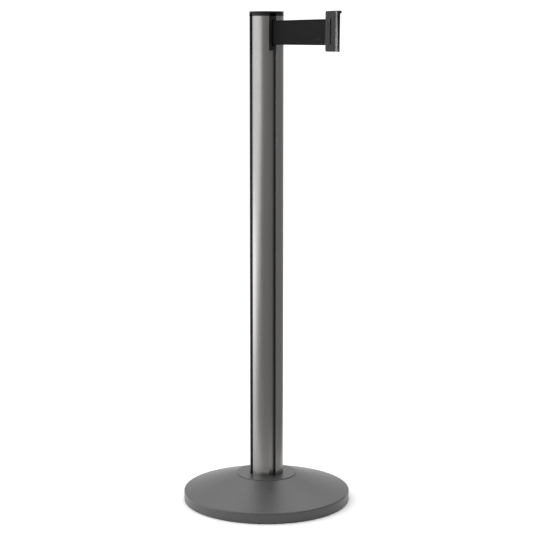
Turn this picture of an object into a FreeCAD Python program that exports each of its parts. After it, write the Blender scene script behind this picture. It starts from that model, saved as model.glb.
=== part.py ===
import FreeCAD, Part
import math
import os
import Sketcher

# Retractable belt stanchion, in millimetres.
# The origin is on the floor under the post's axis. +Z is up, and the belt pulls out along +X.
# A round post with four T-channels stands on a weighted base. The belt's cassette hangs in the head of
# the post, and the belt leaves through the +X channel. The other three channels hold receivers for the
# clips of neighbouring stanchions.

Vec = FreeCAD.Vector
Z_AXIS = Vec(0, 0, 1)
CORNER_ANGLES = (45, 135, 225, 315)


class Size:
    """A length that knows its number and its spreadsheet expression."""

    def __init__(self, text, value):
        self.text = text
        self.value = value

    def __add__(self, other):
        return combine(self, "+", other, self.value + number(other))

    def __sub__(self, other):
        return combine(self, "-", other, self.value - number(other))

    def __rsub__(self, other):
        return combine(other, "-", self, number(other) - self.value)

    def __mul__(self, other):
        return combine(self, "*", other, self.value * number(other))

    def __truediv__(self, other):
        return combine(self, "/", other, self.value / number(other))

    def __neg__(self):
        return Size(f"(0 - {self.text})", -self.value)


def number(size):
    return size.value if isinstance(size, Size) else float(size)


def text(size):
    return size.text if isinstance(size, Size) else repr(float(size))


def combine(first, sign, second, value):
    return Size(f"({text(first)} {sign} {text(second)})", value)


doc = FreeCAD.newDocument("BeltStanchion")
sheet = doc.addObject("Spreadsheet::Sheet", "Sizes")
aliases = []


def dim(alias, value):
    """Adds one driving dimension to the spreadsheet."""
    row = len(aliases) + 1
    sheet.set(f"A{row}", alias)
    sheet.set(f"B{row}", str(value))
    sheet.setAlias(f"B{row}", alias)
    aliases.append(alias)
    return Size(f"Sizes.{alias}", float(value))


# Post
post_radius = dim("post_radius", 33.35)
post_wall = dim("post_wall", 2.8)
head_top = dim("head_top", 971)
channel_mouth = dim("channel_mouth", 14)
channel_width = dim("channel_width", 20)
channel_wall = dim("channel_wall", 2)
channel_floor = dim("channel_floor", 24)
lip_face = dim("lip_face", 30.2)
lip_rounding = dim("lip_rounding", 0.7)
# Head and cap
overall_height = dim("overall_height", 980)
cap_radius = dim("cap_radius", 33.65)
cap_layer = dim("cap_layer", 5)
cap_groove = dim("cap_groove", 0.8)
cap_notch = dim("cap_notch", 13.6)
cap_notch_depth = dim("cap_notch_depth", 15)
head_bottom = dim("head_bottom", 905)
fit_gap = dim("fit_gap", 0.3)
# Belt
belt_width = dim("belt_width", 46)
belt_thickness = dim("belt_thickness", 0.5)
belt_level = dim("belt_level", 939)
belt_out = dim("belt_out", 290)
# Cassette
cassette_radius = dim("cassette_radius", 21.6)
cassette_wall = dim("cassette_wall", 1.4)
cassette_bottom = dim("cassette_bottom", 858)
cassette_top = dim("cassette_top", 968.8)
axle_radius = dim("axle_radius", 3)
hub_radius = dim("hub_radius", 8)
roll_radius = dim("roll_radius", 19.2)
flange_radius = dim("flange_radius", 19.9)
guide_pin_radius = dim("guide_pin_radius", 1.2)
spring_turns = dim("spring_turns", 9)
# Clip
clip_length = dim("clip_length", 47)
clip_height = dim("clip_height", 71)
clip_thickness = dim("clip_thickness", 8.4)
clip_bottom = dim("clip_bottom", 904.8)
clip_corner = dim("clip_corner", 4)
panel_recess = dim("panel_recess", 1.1)
# the front edges' bevels, narrow at the top and wide at the bottom
bevel_top = dim("bevel_top", 1.75)
bevel_bottom = dim("bevel_bottom", 3.35)
# the lip that hooks over the edge of a neighbour's channel, under its cap
lip_reach = dim("lip_reach", 6.5)
lip_half = dim("lip_half", 3)
lip_height = dim("lip_height", 3.8)
detent_reach = dim("detent_reach", 2)
# Base
base_radius = dim("base_radius", 167.5)
rim_height = dim("rim_height", 22)
rim_rounding = dim("rim_rounding", 3)
plateau_radius = dim("plateau_radius", 61.6)
plateau_height = dim("plateau_height", 56)
collar_height = dim("collar_height", 1.5)
cover_thickness = dim("cover_thickness", 1.6)
cover_clearance = dim("cover_clearance", 1.5)
floor_ring_height = dim("floor_ring_height", 4)
bolt_radius = dim("bolt_radius", 6)
washer_seat = dim("washer_seat", 16.5)
doc.recompute()

# the cover's flat top, which the post stands on
POST_FOOT = plateau_height - collar_height

parts = {}


def bind(obj, **sizes):
    """Binds properties to the spreadsheet; two underscores in a name stand for a dot."""
    for name, size in sizes.items():
        if isinstance(size, Size):
            obj.setExpression(name.replace("__", "."), size.text)
        else:
            setattr(obj, name, size)
    return obj


def place(obj, x=0, y=0, z=0, axis=Z_AXIS, turn=0):
    """Turns an object about an axis through its own origin and then moves it."""
    spot = Vec(number(x), number(y), number(z))
    obj.Placement = FreeCAD.Placement(spot, FreeCAD.Rotation(axis, turn))
    for letter, size in (("x", x), ("y", y), ("z", z)):
        if isinstance(size, Size):
            obj.setExpression(f"Placement.Base.{letter}", size.text)
    return obj


def cylinder(radius, height, x=0, y=0, z=0, axis=Z_AXIS, turn=0):
    made = doc.addObject("Part::Cylinder", "Cylinder")
    bind(made, Radius=radius, Height=height)
    return place(made, x, y, z, axis, turn)


def block(low, high):
    """A box from its lowest corner to its highest corner."""
    made = doc.addObject("Part::Box", "Box")
    sides = [b - a for a, b in zip(low, high)]
    bind(made, Length=sides[0], Width=sides[1], Height=sides[2])
    return place(made, *low)


def fuse(*shapes):
    made = doc.addObject("Part::MultiFuse", "Fuse")
    made.Shapes = list(shapes)
    made.Refine = True
    return made


def cut(base, *tools):
    made = doc.addObject("Part::Cut", "Cut")
    made.Base = base
    made.Tool = tools[0] if len(tools) == 1 else fuse(*tools)
    return made


def common(first, second):
    made = doc.addObject("Part::Common", "Common")
    made.Base = first
    made.Tool = second
    return made


def tube(outer, inner, low, high, x=0, y=0):
    """A ring between two radii and two levels."""
    return cut(
        cylinder(outer, high - low, x, y, low), cylinder(inner, high - low + 2, x, y, low - 1)
    )


def turned(shape, angle):
    """A copy of a shape, turned about the post's axis."""
    made = doc.addObject("Part::Compound", "Turned")
    made.Links = [shape]
    return place(made, turn=angle)


def group(*shapes):
    """Identical loose pieces that share one node."""
    made = doc.addObject("Part::Compound", "Group")
    made.Links = list(shapes)
    return made


def add(name, obj):
    """Names a finished sub-part."""
    obj.Label = name
    parts[name] = obj
    return obj


def feature(name, shape):
    """A sub-part whose shape is made directly."""
    made = doc.addObject("Part::Feature", name)
    made.Shape = shape
    return made


def new_body(name):
    return doc.addObject("PartDesign::Body", name)


def new_sketch(body, role):
    """An empty sketch on one of the body's own origin planes."""
    made = body.newObject("Sketcher::SketchObject", f"{body.Name}_sketch")
    plane = next(f for f in body.Origin.OriginFeatures if f.Role == role)
    made.AttachmentSupport = (plane, [""])
    made.MapMode = "FlatFace"
    return made


def draw_circle(sketch, radius):
    """A circle about the sketch's origin, with its radius bound."""
    index = sketch.addGeometry(Part.Circle(Vec(0, 0, 0), Z_AXIS, number(radius)), False)
    sketch.addConstraint(Sketcher.Constraint("Coincident", index, 3, -1, 1))
    fixed = sketch.addConstraint(Sketcher.Constraint("Radius", index, number(radius)))
    bind_constraint(sketch, fixed, radius)


def bind_constraint(sketch, index, size):
    if isinstance(size, Size):
        sketch.setExpression(f"Constraints[{index}]", size.text)


def draw_outline(sketch, corners):
    """A closed outline of straight lines through corners, each bound to the sketch's origin."""
    count = len(corners)
    spots = [Vec(number(x), number(y), 0) for x, y in corners]
    first = sketch.GeometryCount
    for i in range(count):
        sketch.addGeometry(Part.LineSegment(spots[i], spots[(i + 1) % count]), False)
    for i in range(count):
        joined = (first + i, 2, first + (i + 1) % count, 1)
        sketch.addConstraint(Sketcher.Constraint("Coincident", *joined))
    for i, corner in enumerate(corners):
        for kind, size in zip(("DistanceX", "DistanceY"), corner):
            at = (-1, 1, first + i, 1, number(size))
            bind_constraint(sketch, sketch.addConstraint(Sketcher.Constraint(kind, *at)), size)


def pad(body, sketch, length):
    made = body.newObject("PartDesign::Pad", "Pad")
    made.Profile = sketch
    bind(made, Length=length)
    sketch.Visibility = False
    return made


def pocket(body, sketch):
    """A pocket right through the body along the sketch's normal."""
    made = body.newObject("PartDesign::Pocket", "Pocket")
    made.Profile = sketch
    made.Type = "ThroughAll"
    made.Midplane = True
    doc.recompute()
    if made.Shape.Volume >= made.BaseFeature.Shape.Volume - 1e-6:
        raise RuntimeError(f"a pocket of {body.Name} cuts nothing")
    return made


def polar(body, source, count=4):
    """Repeats a feature evenly about the vertical axis."""
    made = body.newObject("PartDesign::PolarPattern", "Polar")
    made.Originals = [source]
    axis = next(f for f in body.Origin.OriginFeatures if f.Role == "Z_Axis")
    made.Axis = (axis, [""])
    made.Angle = 360
    made.Occurrences = count
    body.Tip = made
    doc.recompute()
    return made


def revolve(name, corners):
    """A body turned about the vertical axis from an outline of (radius, height) corners."""
    body = new_body(name)
    sketch = new_sketch(body, "XZ_Plane")
    draw_outline(sketch, corners)
    made = body.newObject("PartDesign::Revolution", "Revolution")
    made.Profile = sketch
    made.ReferenceAxis = (sketch, ["V_Axis"])
    made.Angle = 360
    doc.recompute()
    return body


def dress(body, kind, size, test):
    """Fillets or chamfers every edge of the body's tip that passes the test."""
    doc.recompute()
    base = body.Tip
    names = [f"Edge{i}" for i, edge in enumerate(base.Shape.Edges, 1) if test(edge)]
    if not names:
        raise RuntimeError(f"no edge to dress on {body.Name}")
    made = body.newObject(f"PartDesign::{kind}", kind)
    made.Base = (base, names)
    bind(made, **{"Radius" if kind == "Fillet" else "Size": size})
    doc.recompute()
    return made


def circle_at(edge, radius, level, tolerance=0.05):
    """Is this edge a circle about the vertical axis, of this radius and level?"""
    curve = edge.Curve
    if not isinstance(curve, Part.Circle):
        return False
    middle = math.hypot(curve.Center.x, curve.Center.y)
    near = abs(curve.Radius - number(radius)) < tolerance
    return near and middle < tolerance and abs(curve.Center.z - number(level)) < tolerance


def upright(edge):
    """Is this edge a vertical line?"""
    return isinstance(edge.Curve, Part.Line) and abs(edge.tangentAt(0).z) > 0.999


# ---- post ---------------------------------------------------------------------------------------


def make_post():
    """Round extrusion with four T-channels, and a window in the +X channel's floor for the cassette."""
    body = new_body("post")
    sketch = new_sketch(body, "XY_Plane")
    draw_circle(sketch, post_radius)
    draw_circle(sketch, post_radius - post_wall)
    pad(body, sketch, head_top - POST_FOOT)
    box_half = channel_width / 2 + channel_wall
    # the walls of one channel, inside the tube
    walls = new_sketch(body, "XY_Plane")
    near, far = channel_floor - channel_wall, lip_face + fit_gap * 2
    draw_outline(walls, [(near, -box_half), (far, -box_half), (far, box_half), (near, box_half)])
    block_pad = pad(body, walls, head_top - POST_FOOT)
    polar(body, block_pad)
    # one T-shaped channel, with its mouth through the outer wall
    tee = new_sketch(body, "XY_Plane")
    wide, narrow, outside = channel_width / 2, channel_mouth / 2, post_radius + 2
    draw_outline(
        tee,
        [
            (channel_floor, -wide),
            (lip_face, -wide),
            (lip_face, -narrow),
            (outside, -narrow),
            (outside, narrow),
            (lip_face, narrow),
            (lip_face, wide),
            (channel_floor, wide),
        ],
    )
    polar(body, pocket(body, tee))
    # the window: open at the top, so that the cassette drops in
    window = new_sketch(body, "YZ_Plane")
    low, high = head_bottom - POST_FOOT, head_top - POST_FOOT + 2
    draw_outline(window, [(-narrow, low), (narrow, low), (narrow, high), (-narrow, high)])
    opening = body.newObject("PartDesign::Pocket", "Window")
    opening.Profile = window
    bind(opening, Length=channel_floor + 1)
    opening.Reversed = True
    doc.recompute()
    if opening.Shape.Volume >= opening.BaseFeature.Shape.Volume - 1:
        raise RuntimeError("the post's window cuts nothing")
    mouth = number(channel_mouth) / 2

    def is_lip(edge):
        if not upright(edge):
            return False
        x, y = edge.Vertexes[0].X, edge.Vertexes[0].Y
        on_surface = abs(math.hypot(x, y) - number(post_radius)) < 0.05
        return on_surface and abs(min(abs(x), abs(y)) - mouth) < 0.05

    dress(body, "Fillet", lip_rounding, is_lip)
    place(body, z=POST_FOOT)
    return add("post", body)


# ---- cap ----------------------------------------------------------------------------------------


def make_cap():
    """Two stacked discs. The lower one has a notch over each channel; a groove parts it from the upper."""
    layer_top = head_top + cap_layer
    body = new_body("cap_base")
    sketch = new_sketch(body, "XY_Plane")
    draw_circle(sketch, cap_radius - fit_gap / 2)
    pad(body, sketch, cap_layer)
    notch = new_sketch(body, "XY_Plane")
    inner, half = cap_radius - cap_notch_depth, cap_notch / 2
    draw_outline(
        notch, [(inner, -half), (cap_radius + 1, -half), (cap_radius + 1, half), (inner, half)]
    )
    polar(body, pocket(body, notch))
    rim = number(cap_radius - fit_gap / 2)

    def is_rim(edge):
        curve = edge.Curve
        return isinstance(curve, Part.Circle) and abs(curve.Radius - rim) < 0.01

    dress(body, "Chamfer", fit_gap, is_rim)
    place(body, z=head_top)
    # spacers that stand on the cassette, with counterbored seats for the four screws
    spacers, seats = [], []
    for angle in CORNER_ANGLES:
        x, y = corner_spot(angle)
        spacers.append(cylinder(3.4, head_top + 1 - cassette_top, x, y, cassette_top))
        seats.append(cylinder(1.6, 12, x, y, cassette_top - 1))
        seats.append(cylinder(3, 4, x, y, layer_top - 2.6))
    add("cap_base", cut(fuse(body, *spacers), *seats))

    top = revolve(
        "cap_cover",
        [
            (0, layer_top),
            (cap_radius - 1.2, layer_top),
            (cap_radius - 1.2, layer_top + cap_groove),
            (cap_radius, layer_top + cap_groove),
            (cap_radius, overall_height),
            (0, overall_height),
        ],
    )
    dress(top, "Fillet", 1.4, lambda e: circle_at(e, cap_radius, overall_height))
    dress(top, "Chamfer", 0.3, lambda e: circle_at(e, cap_radius, layer_top + cap_groove))
    add("cap_cover", top)

    screws = [screw(*corner_spot(a), layer_top - 2.5, 1.5, 20, 2.8, 2.2) for a in CORNER_ANGLES]
    add("cap_screws", group(*screws))


def corner_spot(angle, radius=26.5):
    """The place of a screw boss in one of the post's four corner rooms."""
    turn = math.radians(angle)
    return radius * math.cos(turn), radius * math.sin(turn)


def screw(x, y, under_head, radius, length, head_radius, head_height):
    """A vertical screw with a socket in its head."""
    shank = cylinder(radius, length, x, y, under_head - length)
    head = cylinder(head_radius, head_height, x, y, under_head)
    socket = cylinder(head_radius * 0.45, head_height * 0.6, x, y, under_head + head_height * 0.4)
    return cut(fuse(shank, head), socket)


# ---- cassette -----------------------------------------------------------------------------------

SHELL_INNER = cassette_radius - cassette_wall
NOSE_FRONT = channel_floor + 0.6
NOSE_HALF = channel_mouth / 2 - 0.4
JAW_HALF = 3.4
PIN_X = 23.1
PIN_Y = 1.6
BELT_LOW = belt_level - belt_width / 2
BELT_HIGH = belt_level + belt_width / 2
SPOOL_LOW = BELT_LOW - 2.2
SPOOL_HIGH = BELT_HIGH + 1.9
CUP_LOW = cassette_bottom + 20
CUP_HIGH = SPOOL_LOW - 2.6
FLANGE_THICK = 1.6
ANCHOR_X = hub_radius - 1.6
DRUM_INNER = 19.0
PLATE = 4


def make_housing():
    """Two half shells, parted along the belt's plane, with four corner ribs and a nose for the belt."""
    nose_low = head_bottom + 1
    shell = tube(cassette_radius, SHELL_INNER, cassette_bottom, cassette_top)
    ribs = []
    for angle in CORNER_ANGLES:
        rib = block(
            (cassette_radius - 0.8, -2.5, cassette_bottom), (post_radius - 3.2, 2.5, cassette_top)
        )
        ribs.append(turned(rib, angle))
        ribs.append(cylinder(3.6, 30, *corner_spot(angle), cassette_top - 30))
    nose = block((cassette_radius - 1, -NOSE_HALF, nose_low), (NOSE_FRONT, NOSE_HALF, cassette_top))
    throat = block((17, -JAW_HALF, BELT_LOW - 1.3), (NOSE_FRONT + 1, JAW_HALF, BELT_HIGH + 1.3))
    side = block((17, -JAW_HALF, BELT_LOW - 1.3), (cassette_radius - 0.6, 8, BELT_HIGH + 1.3))
    bores = [cylinder(1.6, 34, *corner_spot(a), cassette_top - 32) for a in CORNER_ANGLES]
    pin_low, pin_length = nose_low + 2, cassette_top - nose_low - 3.3
    pins = [
        cylinder(guide_pin_radius + 0.03, pin_length + 1.5, PIN_X, s * PIN_Y, pin_low - 0.1)
        for s in (-1, 1)
    ]
    whole = cut(fuse(shell, nose, *ribs), throat, side, *bores, *pins)
    reach = post_radius + 5
    height = (cassette_bottom - 5, cassette_top + 5)
    left = block((-reach, 0.0, height[0]), (reach, reach, height[1]))
    right = block((-reach, -reach, height[0]), (reach, 0.0, height[1]))
    add("cassette_housing_left", common(whole, left))
    add("cassette_housing_right", common(whole, right))
    pin = [cylinder(guide_pin_radius, pin_length, PIN_X, s * PIN_Y, pin_low) for s in (-1, 1)]
    add("belt_guide_pins", group(*pin))


def make_plates_and_axle():
    """The fixed axle between its two plates. Its head is underneath, and a circlip holds it on top."""
    low = cassette_bottom
    add("bottom_plate", tube(SHELL_INNER - 0.2, axle_radius, low, low + PLATE))
    high = SPOOL_HIGH + 0.5
    add("upper_bearing_plate", tube(SHELL_INNER - 0.2, axle_radius, high, high + PLATE))
    rod = cylinder(axle_radius, high + PLATE + 2 - low + 2.5, 0, 0, low - 2.5)
    head = cylinder(5, 2.5, 0, 0, low - 2.5)
    slot = block((-0.4, -5.0, CUP_LOW + 2), (0.4, 0.0, CUP_HIGH - 1))
    groove = tube(axle_radius + 1, axle_radius - 0.6, high + PLATE + 0.2, high + PLATE + 0.9)
    add("spool_axle", cut(fuse(rod, head), slot, groove))
    ring = tube(5.2, axle_radius - 0.5, high + PLATE + 0.2, high + PLATE + 0.8)
    gap = block((-1.6, 0.0, high + PLATE), (1.6, 8.0, high + PLATE + 2))
    add("axle_circlip", cut(ring, gap))


def make_spool():
    """The spool with its bushes, the belt wound on it and the pin that anchors the belt."""
    hub = tube(hub_radius, axle_radius + 1.4, SPOOL_LOW, SPOOL_HIGH)
    lower = tube(flange_radius, axle_radius + 1.4, SPOOL_LOW, SPOOL_LOW + FLANGE_THICK)
    upper = tube(flange_radius, axle_radius + 1.4, SPOOL_HIGH - FLANGE_THICK, SPOOL_HIGH)
    seat = cylinder(1.1, belt_width, ANCHOR_X, 0, BELT_LOW)
    slit = block((ANCHOR_X, -0.4, BELT_LOW), (hub_radius + 2, 0.4, BELT_HIGH))
    add("spool", cut(fuse(hub, lower, upper), seat, slit))
    bushes = []
    for low in (SPOOL_LOW, SPOOL_HIGH - 8):
        bushes.append(tube(axle_radius + 1.35, axle_radius + 0.02, low, low + 8))
    add("spool_bushes", group(*bushes))
    add("belt_anchor_pin", cylinder(1.0, belt_width, ANCHOR_X, 0, BELT_LOW))
    add("wound_belt", tube(roll_radius, hub_radius + 0.05, BELT_LOW, BELT_HIGH))


def spiral_face(inner, pitch, thickness, half_turns, level):
    """A flat strip wound in half circles, whose centres alternate so that each is wider by half a pitch."""
    step = pitch / 2

    def side(offset):
        edges = []
        for i in range(half_turns):
            centre = Vec(0 if i % 2 == 0 else step, 0, level)
            radius = inner + offset + step * i
            sign = 1 if i % 2 == 0 else -1
            start = centre + Vec(sign * radius, 0, 0)
            middle = centre + Vec(0, sign * radius, 0)
            end = centre - Vec(sign * radius, 0, 0)
            edges.append(Part.Arc(start, middle, end).toShape())
        return edges

    inside, outside = side(0), side(thickness)
    first = Part.makeLine(inside[0].Vertexes[0].Point, outside[0].Vertexes[0].Point)
    last = Part.makeLine(inside[-1].Vertexes[-1].Point, outside[-1].Vertexes[-1].Point)
    wire = Part.Wire(Part.__sortEdges__(inside + outside + [first, last]))
    return Part.Face(wire)


def make_mainspring():
    """A spiral strip of spring steel in its cup, with its inner tab in the axle's slot."""
    turns = int(number(spring_turns))
    inner = number(axle_radius) + 0.8
    outer = number(flange_radius) - 2.6
    pitch = (outer - inner) / turns
    low, height = number(CUP_LOW) + 2.6, number(CUP_HIGH - CUP_LOW) - 4.2
    coil = spiral_face(inner, pitch, 0.6, 2 * turns, low).extrude(Vec(0, 0, height))
    add("mainspring", feature("mainspring", coil))
    cup = tube(flange_radius, axle_radius + 0.6, CUP_LOW, CUP_HIGH)
    room = cylinder(flange_radius - 1.2, CUP_HIGH - CUP_LOW, 0, 0, CUP_LOW + 2)
    add("spring_cup", cut(cup, room))
    lid = tube(flange_radius, axle_radius + 0.6, CUP_HIGH, CUP_HIGH + 1.6)
    collar = tube(12, axle_radius + 0.6, CUP_HIGH + 1.6, SPOOL_LOW)
    add("spring_cup_lid", fuse(lid, collar))


SHOE_PIVOT_RADIUS = 14.0
SHOE_PIVOT_ANGLE = 25.0


def make_brake():
    """A centrifugal brake: a rotor under the spring cup throws two shoes against a fixed drum."""
    low = cassette_bottom + PLATE + 1
    flange = cylinder(16, 2, 0, 0, low)
    hub = cylinder(8, CUP_LOW - low, 0, 0, low)
    bore = cylinder(axle_radius + 0.3, 30, 0, 0, low - 1)
    seats = [cylinder(1.2, 5, *pivot_spot(k), low - 1) for k in (0, 1)]
    add("brake_rotor", cut(fuse(flange, hub), bore, *seats))
    pins = [cylinder(1.2, 11.6, *pivot_spot(k), low) for k in (0, 1)]
    add("shoe_pivot_pins", group(*pins))
    drum_low = cassette_bottom + PLATE + 0.3
    add("brake_drum", tube(SHELL_INNER - 0.1, DRUM_INNER, drum_low, drum_low + 14))
    for k, name in enumerate(("brake_shoe_front", "brake_shoe_rear")):
        ring = tube(17.4, 10.5, low + 2.4, low + 11.4)
        half = block((-20.0, 3.2, low), (20.0, 20.0, low + 14))
        hole = cylinder(1.3, 16, *pivot_spot(0), low)
        shoe = cut(common(ring, half), hole)
        add(name, turned(shoe, 180 * k))


def pivot_spot(index):
    turn = math.radians(SHOE_PIVOT_ANGLE + 180 * index)
    return SHOE_PIVOT_RADIUS * math.cos(turn), SHOE_PIVOT_RADIUS * math.sin(turn)


def make_belt():
    """The webbing: a bent run from the roll to the guide pins, and the flat stretch out to the clip."""
    thick = number(belt_thickness)
    bend = number(guide_pin_radius) + 0.15 + thick / 2
    around = number(roll_radius) + 0.3 + thick / 2
    corner = Vec(PIN_X - bend * math.tan(math.radians(29.5)), 0, 0)
    lean = math.acos(around / corner.x)
    start = Vec(around * math.cos(lean), around * math.sin(lean), 0)
    along = (corner - start).normalize()
    across = Vec(-along.y, along.x, 0)
    trim = bend * math.tan((math.pi / 2 - lean) / 2)
    centre = corner + Vec(trim, bend, 0)
    leave = corner - along * trim
    end = Vec(number(channel_floor) + 5, 0, 0)
    half_turn = (math.pi / 2 - lean) / 2

    def run(offset):
        """The line on one side of the run, offset towards the guide pin."""
        radius = bend - offset
        first = start + across * offset
        second = leave + across * offset
        third = centre + Vec(0, -radius, 0)
        middle = centre + Vec(-math.sin(half_turn), -math.cos(half_turn), 0) * radius
        last = end + Vec(0, offset, 0)
        return [
            Part.makeLine(first, second),
            Part.Arc(second, middle, third).toShape(),
            Part.makeLine(third, last),
        ], first, last

    inner, inner_start, inner_end = run(thick / 2)
    outer, outer_start, outer_end = run(-thick / 2)
    closing = [Part.makeLine(inner_start, outer_start), Part.makeLine(inner_end, outer_end)]
    face = Part.Face(Part.Wire(Part.__sortEdges__(inner + outer + closing)))
    solid = face.extrude(Vec(0, 0, number(belt_width)))
    solid.translate(Vec(0, 0, number(BELT_LOW)))
    add("belt_lead_in", feature("belt_lead_in", solid))
    half = belt_thickness / 2
    low = (channel_floor + 5.5, -half, BELT_LOW)
    add("belt_strip", block(low, (belt_out + 9.4, half, BELT_HIGH)))


# ---- head fittings ------------------------------------------------------------------------------


def make_bezel():
    """The insert that fills the +X channel in the head, flush with the post, with the belt's slot."""
    top = head_top - 0.4
    mouth = channel_mouth / 2 - 0.15
    wide = channel_width / 2 - 0.25
    back = channel_floor + 0.9
    inner = block((back, -wide, head_bottom), (lip_face - 0.2, wide, top))
    front = block((lip_face - 0.2, -mouth, head_bottom), (post_radius + 1, mouth, top))
    flush = cylinder(post_radius - 0.1, 80, 0, 0, head_bottom - 4)
    slot = block(
        (channel_floor - 1, -1.4, BELT_LOW - 2.5), (post_radius + 2, 1.4, BELT_HIGH + 1.2)
    )
    lead = block(
        (post_radius - 1.4, -2.3, BELT_LOW - 3.4), (post_radius + 2, 2.3, BELT_HIGH + 2.1)
    )
    add("belt_exit_bezel", cut(common(fuse(inner, front), flush), slot, lead))


def make_receivers():
    """Inserts behind the lips of the other three channels, with a slot for a clip's nose."""
    top = head_top - 0.4
    wide = channel_width / 2 - 0.25
    for name, angle in (("left", 90), ("rear", 180), ("right", 270)):
        insert = block(
            (channel_floor + 0.15, -wide, head_bottom - 8), (channel_floor + 3.4, wide, top)
        )
        slot = block((channel_floor + 1.4, -4.6, head_bottom - 2.6), (channel_floor + 6, 4.6, top + 2))
        window = block(
            (channel_floor, -3.0, head_bottom + 3), (channel_floor + 6, 3.0, head_bottom + 10)
        )
        add(f"receiver_insert_{name}", turned(cut(insert, slot, window), angle))


# ---- clip ---------------------------------------------------------------------------------------

CLIP_FRONT = belt_out + clip_length
CLIP_TOP = clip_bottom + clip_height
DETENT_LOW = clip_bottom + 4.5
DETENT_HIGH = clip_bottom + 10.5
# how far behind the clip's front the detent's room ends, and how far the back of its collar is
DETENT_ROOM = 19.0
DETENT_COLLAR = 7.0
CLIP_SCREWS = (
    (belt_out + 6, clip_bottom + 5),
    (belt_out + 6, CLIP_TOP - 5),
    (CLIP_FRONT - 6, CLIP_TOP - 7),
)


def bevel_tool(side):
    """A tapered wedge that cuts the bevel of the front edge on one side of the clip."""
    front, half, beyond = number(CLIP_FRONT), number(clip_thickness) / 2, 1.0
    ends = []
    for level, size in ((clip_bottom, bevel_bottom), (CLIP_TOP, bevel_top)):
        far, near = front + beyond, front - number(size) - beyond
        inner, outer = side * (half - number(size) - beyond), side * (half + beyond)
        corners = [Vec(far, outer, 0), Vec(near, outer, 0), Vec(far, inner, 0), Vec(far, outer, 0)]
        wire = Part.makePolygon(corners)
        wire.translate(Vec(0, 0, number(level)))
        ends.append(wire)
    return feature("bevel_tool", Part.makeLoft(ends, True, True))


def make_clip():
    """Two half shells that clamp the belt's end. The front edges are bevelled, and the nose has a lip."""
    half = clip_thickness / 2
    body = new_body("clip_blank")
    sketch = new_sketch(body, "XZ_Plane")
    draw_outline(
        sketch,
        [
            (belt_out, clip_bottom),
            (CLIP_FRONT, clip_bottom),
            (CLIP_FRONT, CLIP_TOP),
            (belt_out, CLIP_TOP),
        ],
    )
    side = pad(body, sketch, clip_thickness)
    side.Midplane = True
    doc.recompute()

    def across(edge, x, z):
        if not isinstance(edge.Curve, Part.Line) or abs(edge.tangentAt(0).y) < 0.999:
            return False
        at = edge.Vertexes[0]
        return abs(at.X - number(x)) < 0.01 and abs(at.Z - number(z)) < 0.01

    def rear_corner(edge):
        return across(edge, belt_out, clip_bottom) or across(edge, belt_out, CLIP_TOP)

    dress(body, "Fillet", clip_corner, rear_corner)
    dress(body, "Fillet", 3, lambda e: across(e, CLIP_FRONT, clip_bottom))

    limit = number(half)

    def outline_edge(edge):
        box = edge.BoundBox
        on_side = abs(abs(box.YMin) - limit) < 0.01 and box.YLength < 0.01
        return on_side and box.XMin < number(CLIP_FRONT) - 2.5

    dress(body, "Fillet", 0.7, outline_edge)
    bevelled = cut(body, bevel_tool(-1), bevel_tool(1))
    lip_end, lip_top = CLIP_FRONT + lip_reach, CLIP_TOP - 0.2
    lip_low = lip_top - lip_height
    lip = block((CLIP_FRONT - 1, -lip_half, lip_low), (lip_end, lip_half, lip_top))
    tooth = block((lip_end - 1.4, -lip_half, lip_low - 1), (lip_end, lip_half, lip_low + 1))
    panels = []
    for sign in (-1, 1):
        inner, outer = sorted((sign * (number(half) - number(panel_recess)), sign * 8.0))
        panels.append(
            block((belt_out + 20, inner, BELT_LOW), (CLIP_FRONT - 10, outer, BELT_HIGH))
        )
    room = block((belt_out + 5, -2.6, BELT_LOW - 1.5), (belt_out + 17, 2.6, BELT_HIGH + 1.5))
    mouth = block((belt_out - 1, -0.6, BELT_LOW - 0.6), (belt_out + 6, 0.6, BELT_HIGH + 0.6))
    detent_room = block(
        (CLIP_FRONT - DETENT_ROOM, -2.0, DETENT_LOW - 0.3), (CLIP_FRONT - 3, 2.0, DETENT_HIGH + 0.3)
    )
    detent_mouth = block(
        (CLIP_FRONT - 4, -1.6, DETENT_LOW + 0.2), (CLIP_FRONT + 2, 1.6, DETENT_HIGH - 0.2)
    )
    pin_bores = [
        cylinder(1.5, 4, belt_out + 11, 0, BELT_LOW - 3.5),
        cylinder(1.5, 4, belt_out + 11, 0, BELT_HIGH - 0.5),
    ]
    bores = []
    sideways = Vec(1, 0, 0)
    for x, z in CLIP_SCREWS:
        bores.append(cylinder(1.1, 6.2, x, half + 1, z, sideways, 90))
        bores.append(cylinder(2.1, 2.6, x, half + 1, z, sideways, 90))
    tools = [*panels, room, mouth, detent_room, detent_mouth, *pin_bores, *bores]
    whole = cut(fuse(bevelled, lip, tooth), *tools)
    low, high = (belt_out - 5, clip_bottom - 5), (CLIP_FRONT + 9, CLIP_TOP + 5)
    left = block((low[0], 0.0, low[1]), (high[0], 9.0, high[1]))
    right = block((low[0], -9.0, low[1]), (high[0], 0.0, high[1]))
    add("clip_shell_left", common(whole, left))
    add("clip_shell_right", common(whole, right))
    screws = []
    for x, z in CLIP_SCREWS:
        shank = cylinder(1.05, 5.1, x, half - 0.1, z, sideways, 90)
        head = cylinder(2.0, 1.4, x, half - 0.15, z, sideways, 90)
        screws.append(fuse(shank, head))
    add("clip_screws", group(*screws))
    add("belt_clamp_pin", cylinder(1.45, belt_width + 5.4, belt_out + 11, 0, BELT_LOW - 2.7))


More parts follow.
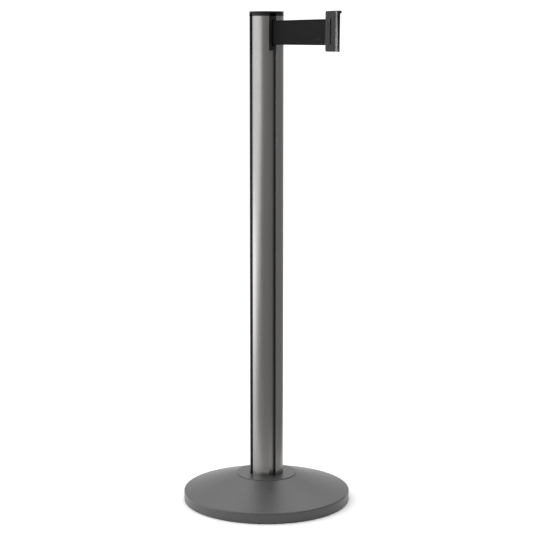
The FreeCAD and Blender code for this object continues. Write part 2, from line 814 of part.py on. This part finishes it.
def make_detent():
    """A sprung plunger low in the clip's nose that drops into the window of a receiver."""
    front = CLIP_FRONT + detent_reach
    shank = block((CLIP_FRONT - 6, -1.3, DETENT_LOW + 0.5), (front, 1.3, DETENT_HIGH - 0.5))
    collar = block(
        (CLIP_FRONT - DETENT_COLLAR, -1.7, DETENT_LOW), (CLIP_FRONT - 5.2, 1.7, DETENT_HIGH)
    )
    slope = block((-4.0, -2.0, -4.0), (4.0, 2.0, 0.0))
    place(slope, front + 0.9, -2.0, DETENT_LOW - 0.6, Vec(0, 1, 0), -45)
    add("detent_plunger", cut(fuse(shank, collar), slope))
    pitch, radius, wire, end_gap = 1.5, 1.2, 0.22, 0.4
    length = DETENT_ROOM - DETENT_COLLAR - end_gap - 0.6
    helix = Part.makeHelix(pitch, length, radius)
    profile = Part.Wire(Part.makeCircle(wire, Vec(radius, 0, 0), Vec(0, 1, 0)))
    coil = Part.Wire(helix).makePipeShell([profile], True, True)
    spring = feature("detent_spring", coil)
    place(spring, CLIP_FRONT - DETENT_ROOM + end_gap, 0, (DETENT_LOW + DETENT_HIGH) / 2, Vec(0, 1, 0), 90)
    add("detent_spring", spring)


# ---- base ---------------------------------------------------------------------------------------


def cone_level(radius, drop=0.0):
    """The height of the cover's outer cone at a radius, less a drop."""
    slope = (POST_FOOT - rim_height) / (base_radius - rim_rounding - plateau_radius)
    return rim_height + (base_radius - rim_rounding - radius) * slope - drop


def make_base():
    """The painted cover, the collar ring round the post, the iron weight and the rubber ring under it."""
    bore = bolt_radius + 0.6
    underside = POST_FOOT - cover_thickness
    outline = [
        (base_radius, cover_clearance),
        (base_radius, rim_height),
        (base_radius - rim_rounding, rim_height + 0.2),
        (plateau_radius, POST_FOOT),
        (bore, POST_FOOT),
        (bore, underside),
        (plateau_radius - 1, underside),
        (base_radius - rim_rounding - 1, rim_height - cover_thickness),
        (base_radius - cover_thickness, rim_height - cover_thickness),
        (base_radius - cover_thickness, cover_clearance),
    ]
    cover = revolve("base_cover", outline)
    dress(cover, "Fillet", rim_rounding - 0.3, lambda e: circle_at(e, base_radius, rim_height))
    dress(cover, "Fillet", 0.5, lambda e: circle_at(e, base_radius, cover_clearance))
    dress(cover, "Fillet", 3, lambda e: circle_at(e, plateau_radius, POST_FOOT))
    add("base_cover", cover)
    inside, outside = post_radius + 0.2, plateau_radius - 1.2
    ring = revolve(
        "collar_ring",
        [
            (inside, POST_FOOT),
            (outside, POST_FOOT),
            (outside, plateau_height),
            (inside, plateau_height),
        ],
    )
    dress(ring, "Fillet", 0.9, lambda e: circle_at(e, outside, plateau_height))
    dress(ring, "Chamfer", 0.4, lambda e: circle_at(e, inside, plateau_height))
    add("collar_ring", ring)

    low = floor_ring_height
    edge = base_radius - 8
    shoulder = rim_height - 6.5
    crown, crown_level = 66.0, cone_level(66.0, 7)
    boss = 44.0
    wrench_room = 18.0
    ceiling = low + 20
    weight = revolve(
        "base_weight",
        [
            (bore, washer_seat),
            (wrench_room, washer_seat),
            (wrench_room, low),
            (42, low),
            (48, ceiling),
            (114, ceiling),
            (120, low),
            (edge, low),
            (edge, shoulder),
            (edge - 3, shoulder + 2),
            (crown, crown_level),
            (boss, crown_level),
            (boss, underside),
            (bore, underside),
        ],
    )
    dress(weight, "Fillet", 2, lambda e: circle_at(e, wrench_room, low))
    add("base_weight", weight)
    pad_ring = revolve("floor_ring", [(132, 0), (156, 0), (158, low), (130, low)])
    dress(pad_ring, "Fillet", 1, lambda e: circle_at(e, 132, 0) or circle_at(e, 156, 0))
    add("floor_ring", pad_ring)


def make_anchor():
    """The plug in the post's foot, and the bolt that pulls the post down on the cover and the weight."""
    plug_height = 40
    plug_radius = channel_floor - channel_wall - 0.3
    add("post_foot_plug", tube(plug_radius, bolt_radius + 0.05, POST_FOOT, POST_FOOT + plug_height))
    plain_low = washer_seat - 2.2
    lock_low = plain_low - 1.8
    head_height = 7.5
    across_corners = 10.97
    head = new_body("anchor_bolt")
    sketch = new_sketch(head, "XY_Plane")
    turns = [k * math.pi / 3 for k in range(6)]
    draw_outline(sketch, [(across_corners * math.cos(t), across_corners * math.sin(t)) for t in turns])
    pad(head, sketch, head_height)
    place(head, z=lock_low - head_height)
    shank = cylinder(bolt_radius, POST_FOOT + plug_height - 4 - lock_low, 0, 0, lock_low - 0.1)
    add("anchor_bolt", fuse(head, shank))
    ring = tube(bolt_radius + 3.2, bolt_radius + 0.2, lock_low, plain_low)
    split = block((0.0, -0.5, lock_low - 1), (12.0, 0.5, plain_low + 1))
    add("lock_washer", cut(ring, split))
    add("plain_washer", tube(14, bolt_radius + 0.3, plain_low, washer_seat))


# ---- whole object -------------------------------------------------------------------------------

make_post()
make_cap()
make_housing()
make_plates_and_axle()
make_spool()
make_mainspring()
make_brake()
make_belt()
make_bezel()
make_receivers()
make_clip()
make_detent()
make_base()
make_anchor()
doc.recompute()

for obj in doc.Objects:
    if "Invalid" in obj.State or "Error" in obj.State:
        raise RuntimeError(f"{obj.Label} failed: {obj.State}")
for name, part in parts.items():
    if part.Shape.isNull() or not part.Shape.isValid():
        raise RuntimeError(f"{name} has no valid shape")
    if part.Shape.Volume <= 0 or not part.Shape.Solids:
        raise RuntimeError(f"{name} is not solid")

os.makedirs("parts", exist_ok=True)
for old in os.listdir("parts"):
    if old.endswith(".step") and old[:-5] not in parts:
        os.remove(os.path.join("parts", old))
for name, part in parts.items():
    part.Shape.exportStep(f"parts/{name}.step")
    print(f"{name}: {len(part.Shape.Solids)} solids, {part.Shape.Volume / 1000:.2f} cm3")
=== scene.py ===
import math

import bmesh
import bpy
from mathutils import Matrix, Vector


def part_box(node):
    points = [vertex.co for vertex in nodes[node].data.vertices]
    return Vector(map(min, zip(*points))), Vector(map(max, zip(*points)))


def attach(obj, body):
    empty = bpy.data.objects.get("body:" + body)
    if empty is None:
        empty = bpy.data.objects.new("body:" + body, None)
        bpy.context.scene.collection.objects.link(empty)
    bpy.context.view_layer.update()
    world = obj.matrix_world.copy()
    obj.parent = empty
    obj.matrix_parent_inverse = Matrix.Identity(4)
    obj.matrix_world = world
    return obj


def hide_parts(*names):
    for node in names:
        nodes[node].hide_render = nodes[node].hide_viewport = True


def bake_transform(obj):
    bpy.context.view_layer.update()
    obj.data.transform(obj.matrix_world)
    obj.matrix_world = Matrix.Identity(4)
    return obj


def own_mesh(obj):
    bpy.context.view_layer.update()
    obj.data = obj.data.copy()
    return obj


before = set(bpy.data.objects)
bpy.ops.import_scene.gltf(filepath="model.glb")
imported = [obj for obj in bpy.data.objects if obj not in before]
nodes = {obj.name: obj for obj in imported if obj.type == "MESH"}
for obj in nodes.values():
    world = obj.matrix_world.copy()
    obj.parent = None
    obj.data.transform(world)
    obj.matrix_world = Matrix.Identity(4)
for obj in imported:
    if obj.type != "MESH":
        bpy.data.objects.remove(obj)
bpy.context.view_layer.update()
collection = bpy.context.scene.collection

MM = 0.001
UP = Vector((0, 0, 1))

# ---- view ------------------------------------------------------------------------------------------

VIEW_AZIMUTH = math.radians(68.22)
VIEW_PITCH = math.radians(8.74)
VIEW_DISTANCE = 2.924
VIEW_HEIGHT = 0.928
FOCAL_LENGTH, SENSOR_WIDTH = 100.2, 36
towards = Vector((math.sin(VIEW_AZIMUTH), -math.cos(VIEW_AZIMUTH), 0))
rightwards = Vector((math.cos(VIEW_AZIMUTH), math.sin(VIEW_AZIMUTH), 0))

camera_data = bpy.data.cameras.new("camera")
camera_data.sensor_width = SENSOR_WIDTH
camera_data.lens = FOCAL_LENGTH
camera = bpy.data.objects.new("camera", camera_data)
camera.location = towards * VIEW_DISTANCE + UP * VIEW_HEIGHT
looking = -towards * math.cos(VIEW_PITCH) - UP * math.sin(VIEW_PITCH)
camera.rotation_mode = "QUATERNION"
camera.rotation_quaternion = looking.to_track_quat("-Z", "Y")
collection.objects.link(camera)
bpy.context.scene.camera = camera
bpy.context.scene.view_settings.view_transform = "Standard"

# ---- studio ----------------------------------------------------------------------------------------

BACKGROUND = 1.15
SURROUND_FRONT, SURROUND_BEHIND = 0.4, 0.95
FADE_START, FADE_END = 0.5, 0.9


def build_world():
    """A pale surround, bright behind the object and dim in front. The camera sees it white."""
    world = bpy.data.worlds.new("studio")
    world.use_nodes = True
    tree = world.node_tree
    direction = tree.nodes.new("ShaderNodeTexCoord")
    behind = tree.nodes.new("ShaderNodeVectorMath")
    behind.operation = "DOT_PRODUCT"
    behind.inputs[1].default_value = -0.8 * towards + 0.6 * UP
    tree.links.new(direction.outputs["Generated"], behind.inputs[0])
    around = tree.nodes.new("ShaderNodeMapRange")
    for key, value in (
        ("From Min", FADE_START),
        ("From Max", FADE_END),
        ("To Min", SURROUND_FRONT),
        ("To Max", SURROUND_BEHIND),
    ):
        around.inputs[key].default_value = value
    tree.links.new(behind.outputs["Value"], around.inputs["Value"])
    path = tree.nodes.new("ShaderNodeLightPath")
    level = tree.nodes.new("ShaderNodeMapRange")
    level.inputs["To Max"].default_value = BACKGROUND
    tree.links.new(path.outputs["Is Camera Ray"], level.inputs["Value"])
    tree.links.new(around.outputs[0], level.inputs["To Min"])
    background = tree.nodes["Background"]
    background.inputs["Color"].default_value = (1, 1, 1, 1)
    tree.links.new(level.outputs[0], background.inputs["Strength"])
    bpy.context.scene.world = world


build_world()


def softbox(name, angle, distance, height, width, tall, radiance, aim, spread=180):
    """A soft area light, angle degrees left of the camera as seen from the post.

    It points at aim, and a grid on it narrows its spread, in degrees.
    """
    turn = math.radians(angle)
    spot = (towards * math.cos(turn) - rightwards * math.sin(turn)) * distance + UP * height
    data = bpy.data.lights.new(name, "AREA")
    data.shape = "RECTANGLE"
    data.size, data.size_y = width, tall
    data.energy = radiance * math.pi * width * tall
    data.spread = math.radians(spread)
    light = bpy.data.objects.new(name, data)
    light.location = spot
    light.rotation_mode = "QUATERNION"
    light.rotation_quaternion = (aim - spot).to_track_quat("-Z", "Y")
    light.visible_camera = False
    collection.objects.link(light)


def ceiling(irradiance, spread):
    """A broad even light from straight above, spread degrees across."""
    data = bpy.data.lights.new("ceiling", "SUN")
    data.energy = irradiance
    data.angle = math.radians(spread)
    light = bpy.data.objects.new("ceiling", data)
    light.location = UP * 3
    light.visible_camera = False
    collection.objects.link(light)


past_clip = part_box("clip_shell_right")[1] + Vector((0.05, 0, -0.03))
softbox("softbox_left", 74, 2.4, 1.2, 2.9, 2.4, 1.68, UP * 0.9)
softbox("softbox_low", 92, 1.3, 0.25, 1.0, 0.4, 1.8, Vector())
softbox("strip_left", 37.5, 2.76, 0.86, 0.42, 0.5, 0.27, past_clip, 11)
ceiling(1.9, 100)

# ---- materials -------------------------------------------------------------------------------------


class Finish:
    """A procedural material. Each call adds nodes and gives back a socket."""

    def __init__(self, name, metallic=0.0, **uniform):
        self.material = bpy.data.materials.new(name)
        self.material.use_nodes = True
        self.tree = self.material.node_tree
        self.tree.nodes.clear()
        out = self.tree.nodes.new("ShaderNodeOutputMaterial")
        self.shader = self.tree.nodes.new("ShaderNodeBsdfPrincipled")
        self.tree.links.new(self.shader.outputs[0], out.inputs["Surface"])
        self.shader.inputs["Metallic"].default_value = metallic
        for key, value in uniform.items():
            self.shader.inputs[key.replace("_", " ")].default_value = value
        self.where = self.tree.nodes.new("ShaderNodeTexCoord").outputs["Object"]

    def put(self, kind, *sockets, out=0, **settings):
        node = self.tree.nodes.new(kind)
        for key, value in settings.items():
            setattr(node, key, value)
        for i, value in enumerate(sockets):
            if isinstance(value, bpy.types.NodeSocket):
                self.tree.links.new(value, node.inputs[i])
            elif value is not None:
                node.inputs[i].default_value = value
        return node.outputs[out]

    def stretched(self, x, y, z, turn=(0, 0, 0)):
        """Object coordinates, multiplied along each axis."""
        return self.put("ShaderNodeMapping", self.where, None, turn, (x, y, z))

    def noise(self, scale, detail=3.0, rough=0.5, at=None):
        node = self.tree.nodes.new("ShaderNodeTexNoise")
        self.tree.links.new(at or self.where, node.inputs["Vector"])
        node.inputs["Scale"].default_value = scale
        node.inputs["Detail"].default_value = detail
        node.inputs["Roughness"].default_value = rough
        return node.outputs[0]

    def maths(self, operation, a, b=0.0, c=0.0):
        return self.put("ShaderNodeMath", a, b, c, operation=operation)

    def span(self, value, low, high, to_low, to_high):
        return self.put("ShaderNodeMapRange", value, low, high, to_low, to_high)

    def ramp(self, value, *stops):
        """A colour for each (place, colour) stop."""
        node = self.tree.nodes.new("ShaderNodeValToRGB")
        self.tree.links.new(value, node.inputs[0])
        band = node.color_ramp.elements
        while len(band) < len(stops):
            band.new(0.5)
        for element, (place, colour) in zip(band, stops):
            element.position = place
            element.color = (*colour, 1)
        return node.outputs[0]

    def bump(self, height, distance, strength=1.0, over=None):
        """A surface relief, distance high in metres; over is the relief that it is added to."""
        node = self.tree.nodes.new("ShaderNodeBump")
        self.tree.links.new(height, node.inputs["Height"])
        node.inputs["Strength"].default_value = strength
        node.inputs["Distance"].default_value = distance
        if over is not None:
            self.tree.links.new(over, node.inputs["Normal"])
        return node.outputs[0]

    def finish(self, colour, roughness, normal):
        for name, value in (("Base Color", colour), ("Roughness", roughness), ("Normal", normal)):
            self.tree.links.new(value, self.shader.inputs[name])
        return self.material


def grey(level, warm=0.0):
    """A grey, a little warmer or cooler than neutral."""
    return (level * (1 + warm), level, level * (1 - warm))


def metal_finish(name, dark, light, rough, warm=0.0, grain=(1, 1, 1), scale=700.0, depth=0.000004):
    """A machined, drawn or plated metal: fine grain, cloudy tone and uneven gloss."""
    f = Finish(name, metallic=1.0)
    lines = f.noise(scale, 4, 0.6, f.stretched(*grain))
    cloud = f.noise(26, 3)
    tone = f.maths("MULTIPLY_ADD", lines, 0.55, f.maths("MULTIPLY", cloud, 0.45))
    colour = f.ramp(tone, (0.3, grey(dark, warm)), (0.7, grey(light, warm)))
    gloss = f.span(tone, 0.3, 0.7, rough - 0.05, rough + 0.07)
    return f.finish(colour, gloss, f.bump(lines, depth, 0.6))


def plastic_finish(name, dark, light, rough, specular, spark=1500.0, depth=0.00003):
    """Moulded plastic: an eroded mould's fine texture, faint flow marks and handling gloss."""
    f = Finish(name, Specular_IOR_Level=specular)
    fine = f.noise(spark, 2, 0.6)
    flow = f.noise(16, 2, 0.4, f.stretched(1, 1, 0.5))
    colour = f.ramp(flow, (0.32, grey(dark)), (0.68, grey(light)))
    gloss = f.span(flow, 0.3, 0.7, rough - 0.015, rough + 0.02)
    return f.finish(colour, gloss, f.bump(fine, depth, 0.35))


def post_finish():
    """Dark satin-anodised extrusion, with the fine lengthwise lines of drawing and brushing."""
    f = Finish("post_metal", metallic=1.0, Anisotropic=0.35)
    lines = f.noise(1300, 3, 0.6, f.stretched(1, 1, 0.012))
    broad = f.noise(160, 3, 0.5, f.stretched(1, 1, 0.03))
    cloud = f.noise(14, 3)
    slow = f.maths("MULTIPLY_ADD", broad, 0.3, f.maths("MULTIPLY", cloud, 0.2))
    tone = f.maths("MULTIPLY_ADD", lines, 0.5, slow)
    colour = f.ramp(tone, (0.3, grey(0.25, 0.02)), (0.7, grey(0.3, 0.02)))
    gloss = f.span(tone, 0.3, 0.7, 0.3, 0.38)
    tangent = f.put("ShaderNodeTangent", direction_type="RADIAL", axis="Z")
    f.tree.links.new(tangent, f.shader.inputs["Tangent"])
    return f.finish(colour, gloss, f.bump(lines, 0.000006, 0.5))


def paint_finish():
    """Satin powder coat: orange peel, with darker and lighter grains in the film."""
    f = Finish("base_paint", IOR=1.62)
    peel = f.noise(420, 2, 0.5)
    grain = f.noise(2600, 1, 0.5)
    cloud = f.noise(9, 3)
    mottle = f.maths("MULTIPLY_ADD", peel, 0.5, f.maths("MULTIPLY", cloud, 0.2))
    tone = f.maths("MULTIPLY_ADD", grain, 0.3, mottle)
    dark, middle, light = grey(0.022, 0.02), grey(0.035, 0.015), grey(0.052, 0.01)
    colour = f.ramp(tone, (0.36, dark), (0.5, middle), (0.64, light))
    gloss = f.span(tone, 0.3, 0.7, 0.32, 0.42)
    return f.finish(colour, gloss, f.bump(grain, 0.00001, 0.25, f.bump(peel, 0.00004, 0.35)))


def iron_finish():
    """Sand-cast iron under thin black primer."""
    f = Finish("cast_iron", Specular_IOR_Level=0.35)
    sand = f.noise(520, 4, 0.65)
    lumps = f.noise(70, 3)
    tone = f.maths("MULTIPLY_ADD", sand, 0.5, f.maths("MULTIPLY", lumps, 0.5))
    colour = f.ramp(tone, (0.3, grey(0.02)), (0.55, grey(0.045, 0.03)), (0.75, grey(0.07, 0.08)))
    gloss = f.span(tone, 0.3, 0.7, 0.55, 0.8)
    return f.finish(colour, gloss, f.bump(sand, 0.00018, 0.8, f.bump(lumps, 0.0006, 0.5)))


def rubber_finish():
    """Moulded rubber: matt, dusty in its pores."""
    f = Finish("rubber", Specular_IOR_Level=0.3)
    pores = f.noise(900, 3, 0.6)
    dust = f.noise(45, 4)
    colour = f.ramp(dust, (0.35, grey(0.016)), (0.7, grey(0.034, 0.03)))
    gloss = f.span(pores, 0.3, 0.7, 0.62, 0.8)
    return f.finish(colour, gloss, f.bump(pores, 0.00005, 0.5))


WARP_PITCH = 1.15 * MM
WEFT_PITCH = 1.0 * MM
# width, fade and tone of a band along the belt's top and bottom edges, where its colour is darker
EDGE_BAND = 2.6 * MM
EDGE_BAND_FADE = 0.4 * MM
EDGE_BAND_TONE = 0.35


def belt_finish():
    """Plain-woven polyester webbing: ribs crossed by the weft, uneven threads, and a colour darker in
    a band along the top and bottom edges.
    """
    f = Finish("belt", Specular_IOR_Level=0.05)
    apart = f.put("ShaderNodeSeparateXYZ", f.where)
    x, z = apart.node.outputs["X"], apart.node.outputs["Z"]
    warp = f.maths("SINE", f.maths("MULTIPLY", z, 2 * math.pi / WARP_PITCH))
    weft = f.maths("SINE", f.maths("MULTIPLY", x, math.pi / WEFT_PITCH))
    crossing = f.maths("MULTIPLY", warp, weft)
    rib = f.maths("ABSOLUTE", f.maths("SINE", f.maths("MULTIPLY", z, math.pi / WARP_PITCH)))
    weave = f.maths("MULTIPLY_ADD", crossing, 0.35, f.maths("MULTIPLY", rib, 0.65))
    fibre = f.noise(2400, 3, 0.6, f.stretched(0.25, 1, 1))
    thread = f.noise(900, 1, 0.5, f.stretched(0.02, 1, 1))
    surface = f.maths("MULTIPLY_ADD", weave, 0.25, f.maths("MULTIPLY", fibre, 0.25))
    tone = f.maths("MULTIPLY_ADD", thread, 0.5, surface)
    dyed = f.ramp(tone, (0.25, grey(0.0045)), (0.5, grey(0.0085)), (0.8, grey(0.014)))
    low, high = (corner.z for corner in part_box("belt_strip"))
    off_centre = f.maths("ABSOLUTE", f.maths("SUBTRACT", z, (low + high) / 2))
    inner = (high - low) / 2 - EDGE_BAND
    # the colour is made darker in a band along the top and bottom edges
    edge = f.span(off_centre, inner, inner + EDGE_BAND_FADE, 1.0, EDGE_BAND_TONE)
    colour = f.put("ShaderNodeVectorMath", dyed, edge, operation="MULTIPLY")
    gloss = f.span(fibre, 0.3, 0.7, 0.6, 0.78)
    relief = f.bump(fibre, 0.00003, 0.5, f.bump(weave, 0.00016, 0.7))
    return f.finish(colour, gloss, relief)


finishes = {
    "post_metal": post_finish(),
    "black_plastic": plastic_finish("black_plastic", 0.01, 0.018, 0.5, 0.22),
    "clip_plastic": plastic_finish("clip_plastic", 0.006, 0.012, 0.27, 0.3, 900, 0.000001),
    "inner_plastic": plastic_finish("inner_plastic", 0.03, 0.05, 0.45, 0.5),
    "belt": belt_finish(),
    "steel": metal_finish("steel", 0.42, 0.56, 0.3, 0.01),
    "spring_steel": metal_finish("spring_steel", 0.16, 0.28, 0.34, -0.06, (1, 1, 0.1)),
    "brass": metal_finish("brass", 0.5, 0.62, 0.28, 0.3, (1, 1, 6), 500),
    "aluminium": metal_finish("aluminium", 0.6, 0.72, 0.32, 0.0, (1, 1, 5)),
    "base_paint": paint_finish(),
    "cast_iron": iron_finish(),
    "rubber": rubber_finish(),
}
for node in nodes.values():
    node.data.materials[0] = finishes[node.data.materials[0].name]

# ---- belt ------------------------------------------------------------------------------------------

strip_low, strip_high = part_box("belt_strip")
roll_low, roll_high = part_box("wound_belt")
pins_low, pins_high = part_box("belt_guide_pins")
clamp_low, clamp_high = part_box("belt_clamp_pin")
shell_low, shell_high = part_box("clip_shell_left")
BELT_HALF = 0.25 * MM
BELT_GAP = 0.1 * MM
ROLL_WRAP = math.radians(40)
LOOP_REACH = 3.6 * MM
TAIL_STEP = 0.6 * MM
TURNS = 24
STEPS_PER_TURN = 56
ROLL_HALF = 0.21 * MM
ROLL_START = math.radians(27)
HUB_CLEARANCE = 0.9 * MM


def arc(centre, radius, first, last, count):
    """Points on an arc in plan, from one angle to another."""
    angles = [first + (last - first) * i / (count - 1) for i in range(count)]
    return [centre + Vector((math.cos(a), math.sin(a))) * radius for a in angles]


def line(first, last, count):
    """Points on a straight run in plan, without its two ends."""
    return [first.lerp(last, i / count) for i in range(1, count)]


def woven_strip(name, path, section):
    """A closed strip that stands upright on a path in plan.

    Its section is a list of (height, half thickness) pairs, from the bottom to the top.
    """
    made = bmesh.new()
    rings = []
    for i, point in enumerate(path):
        along = (path[min(i + 1, len(path) - 1)] - path[max(i - 1, 0)]).normalized()
        out = Vector((-along.y, along.x))
        ring = []
        for side, pairs in ((1, section), (-1, section[-2:0:-1])):
            for z, half in pairs:
                at = point + out * side * half
                ring.append(made.verts.new((at.x, at.y, z)))
        rings.append(ring)
    for first, second in zip(rings, rings[1:]):
        for j, corner in enumerate(first):
            k = (j + 1) % len(first)
            made.faces.new((corner, second[j], second[k], first[k]))
    made.faces.new(rings[0])
    made.faces.new(rings[-1][::-1])
    bmesh.ops.recalc_face_normals(made, faces=made.faces)
    for face in made.faces:
        face.smooth = len(face.verts) == 4
    mesh = bpy.data.meshes.new(name)
    made.to_mesh(mesh)
    made.free()
    mesh.materials.append(finishes["belt"])
    strip = bpy.data.objects.new(name, mesh)
    collection.objects.link(strip)
    return strip


def belt_path():
    """From the outer turn of the roll, round the guide pin, straight out, and round the clamp pin."""
    radius = (pins_high.x - pins_low.x) / 2
    pin = Vector(((pins_low.x + pins_high.x) / 2, pins_high.y - radius))
    around = roll_high.x + 1.5 * BELT_GAP + BELT_HALF
    lean = math.atan2(pin.y, pin.x) + math.acos((around + pin.y) / pin.length)
    wrap = arc(Vector((0, 0)), around, lean + ROLL_WRAP, lean, 16)
    turn = arc(pin, pin.y, lean - math.pi, -math.pi / 2, 8)
    clamp = Vector(((clamp_low.x + clamp_high.x) / 2, 0))
    loop_radius = (clamp_high.x - clamp_low.x) / 2 + BELT_HALF + BELT_GAP
    swing = math.atan2(loop_radius, LOOP_REACH)
    before = clamp - Vector((LOOP_REACH, 0))
    loop = arc(clamp, loop_radius, -math.pi / 2 - swing, math.pi / 2, 22)
    tail = clamp + Vector((-LOOP_REACH, loop_radius - TAIL_STEP))
    return [
        *wrap,
        *line(wrap[-1], turn[0], 5),
        *turn,
        *line(turn[-1], before, 110),
        before,
        *line(before, loop[0], 3),
        *loop,
        *line(loop[-1], tail, 4),
        tail,
    ]


def belt_section():
    """The woven width: a rounded edge, a thicker selvedge, and the even middle."""
    edge = ((0, 0.02), (0.15, 0.19), (0.45, 0.28), (1.2, 0.31), (2.1, 0.29), (2.6, 0.24), (3.1, 0.25))
    near = [(strip_low.z + z * MM, half * MM) for z, half in edge]
    far = [(strip_high.z - z * MM, half * MM) for z, half in edge[::-1]]
    first, last, count = near[-1][0], far[0][0], 18
    middle = [(first + (last - first) * i / count, BELT_HALF) for i in range(1, count)]
    return near + middle + far


def roll_path():
    """The belt's turns on the spool, from the outer one in to the slit in the hub."""
    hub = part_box("belt_anchor_pin")[1].x + HUB_CLEARANCE
    outer = roll_high.x - BELT_HALF
    total = TURNS * 2 * math.pi - ROLL_START
    count = TURNS * STEPS_PER_TURN
    points = []
    for i in range(count):
        share = i / (count - 1)
        radius = outer + (hub - outer) * share
        angle = ROLL_START + total * share
        points.append(Vector((math.cos(angle), math.sin(angle))) * radius)
    return points


def roll_section():
    """The belt's width on the roll, with thinned edges."""
    low, high = roll_low.z + BELT_GAP, roll_high.z - BELT_GAP
    taper, edge_half = 0.2 * MM, 0.05 * MM
    return [(low, edge_half), (low + taper, ROLL_HALF), (high - taper, ROLL_HALF), (high, edge_half)]


run = belt_path()
webbing = woven_strip("belt_webbing", run, belt_section())
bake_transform(webbing)
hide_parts("belt_strip", "belt_lead_in")
turns = roll_path()
roll = woven_strip("belt_roll", turns, roll_section())
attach(roll, "spool")
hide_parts("wound_belt")

# ---- detent coil -----------------------------------------------------------------------------------


def detent_coil():
    """The latch dog's coil spring, which shortens by the dog's travel."""
    near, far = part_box("detent_spring")
    wire, pitch, steps = 0.22 * MM, 1.5 * MM, 20
    radius = (far.y - near.y) / 2 - wire
    height = (near.z + far.z) / 2
    run = far.x - near.x - 2 * wire
    count = round(run / pitch * steps)
    curve = bpy.data.curves.new("detent_coil", "CURVE")
    curve.dimensions = "3D"
    curve.bevel_depth = wire
    curve.bevel_resolution = 3
    curve.use_fill_caps = True
    helix = curve.splines.new("POLY")
    helix.points.add(count - 1)
    for i, point in enumerate(helix.points):
        turned = 2 * math.pi * i / steps
        along = near.x + wire + run * i / (count - 1)
        point.co = (along, radius * math.sin(turned), height + radius * math.cos(turned), 1)
    shape = bpy.data.objects.new("detent_coil_line", curve)
    mesh = bpy.data.meshes.new_from_object(shape)
    bpy.data.objects.remove(shape)
    mesh.materials.clear()
    mesh.materials.append(finishes["spring_steel"])
    mesh.shade_smooth()
    coil = bpy.data.objects.new("detent_coil", mesh)
    collection.objects.link(coil)
    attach(coil, "belt_clip")
    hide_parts("detent_spring")
    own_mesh(coil)


detent_coil()

# ---- floor -----------------------------------------------------------------------------------------

FLOOR_HALF = 3
FLOOR_MARGIN = 0.3  # from the post's axis to the floor's edge, towards the camera and to its right

floor_mesh = bpy.data.meshes.new("floor")
made = bmesh.new()
bmesh.ops.create_grid(made, x_segments=8, y_segments=8, size=FLOOR_HALF)
shift = FLOOR_MARGIN - FLOOR_HALF
bmesh.ops.translate(made, verts=made.verts, vec=(shift, shift, 0))
facing = Matrix.Rotation(VIEW_AZIMUTH - math.pi / 2, 3, "Z")
bmesh.ops.rotate(made, verts=made.verts, matrix=facing)
made.to_mesh(floor_mesh)
made.free()
floor = bpy.data.objects.new("floor", floor_mesh)
collection.objects.link(floor)
pale = Finish("pale_floor", Specular_IOR_Level=0.1)
shade = pale.noise(3, 2)
floor_mesh.materials.append(
    pale.finish(
        pale.ramp(shade, (0.3, grey(0.93)), (0.7, grey(0.95))),
        pale.span(shade, 0.3, 0.7, 0.8, 0.85),
        pale.bump(shade, 0.0001, 0.1),
    )
)
